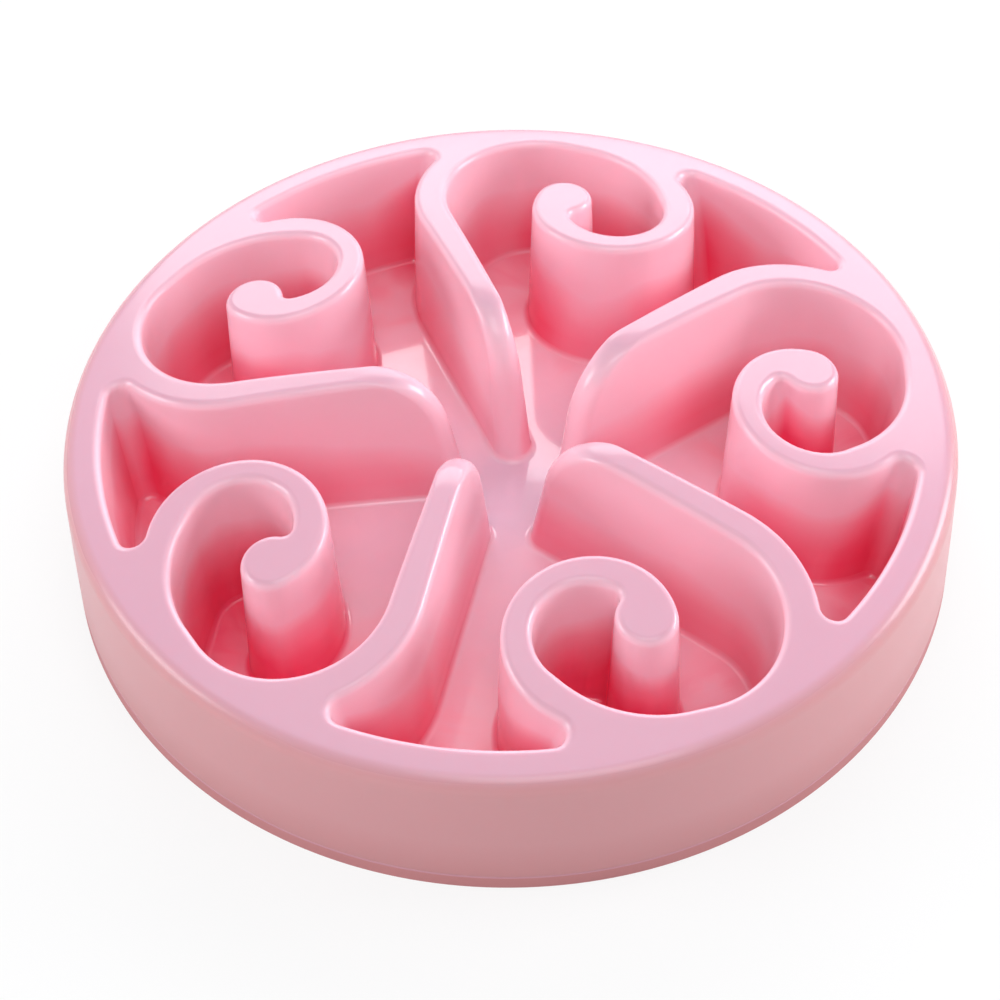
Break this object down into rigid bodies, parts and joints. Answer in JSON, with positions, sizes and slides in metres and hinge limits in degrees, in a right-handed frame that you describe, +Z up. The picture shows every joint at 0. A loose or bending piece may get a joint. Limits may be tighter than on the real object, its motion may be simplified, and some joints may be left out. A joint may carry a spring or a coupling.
{
  "type": "slow feeder bowl",
  "caption": "Shallow round pet bowl moulded in one piece, with scroll-shaped ridges that slow eating, on a soft non-slip ring.",
  "frame": {"origin": "on the ground under the middle of the bowl", "axes": "+Z up through the middle of the bowl; the picture looks along +Y, so -Y is the side nearest to its camera"},
  "size_m": [0.292, 0.292, 0.0642],
  "materials": {
    "bowl": "glossy, slightly translucent",
    "ring": "satin"
  },
  "bodies": {
    "root": {"bowl": "bowl", "base_ring": "ring"}
  },
  "joints": []
}
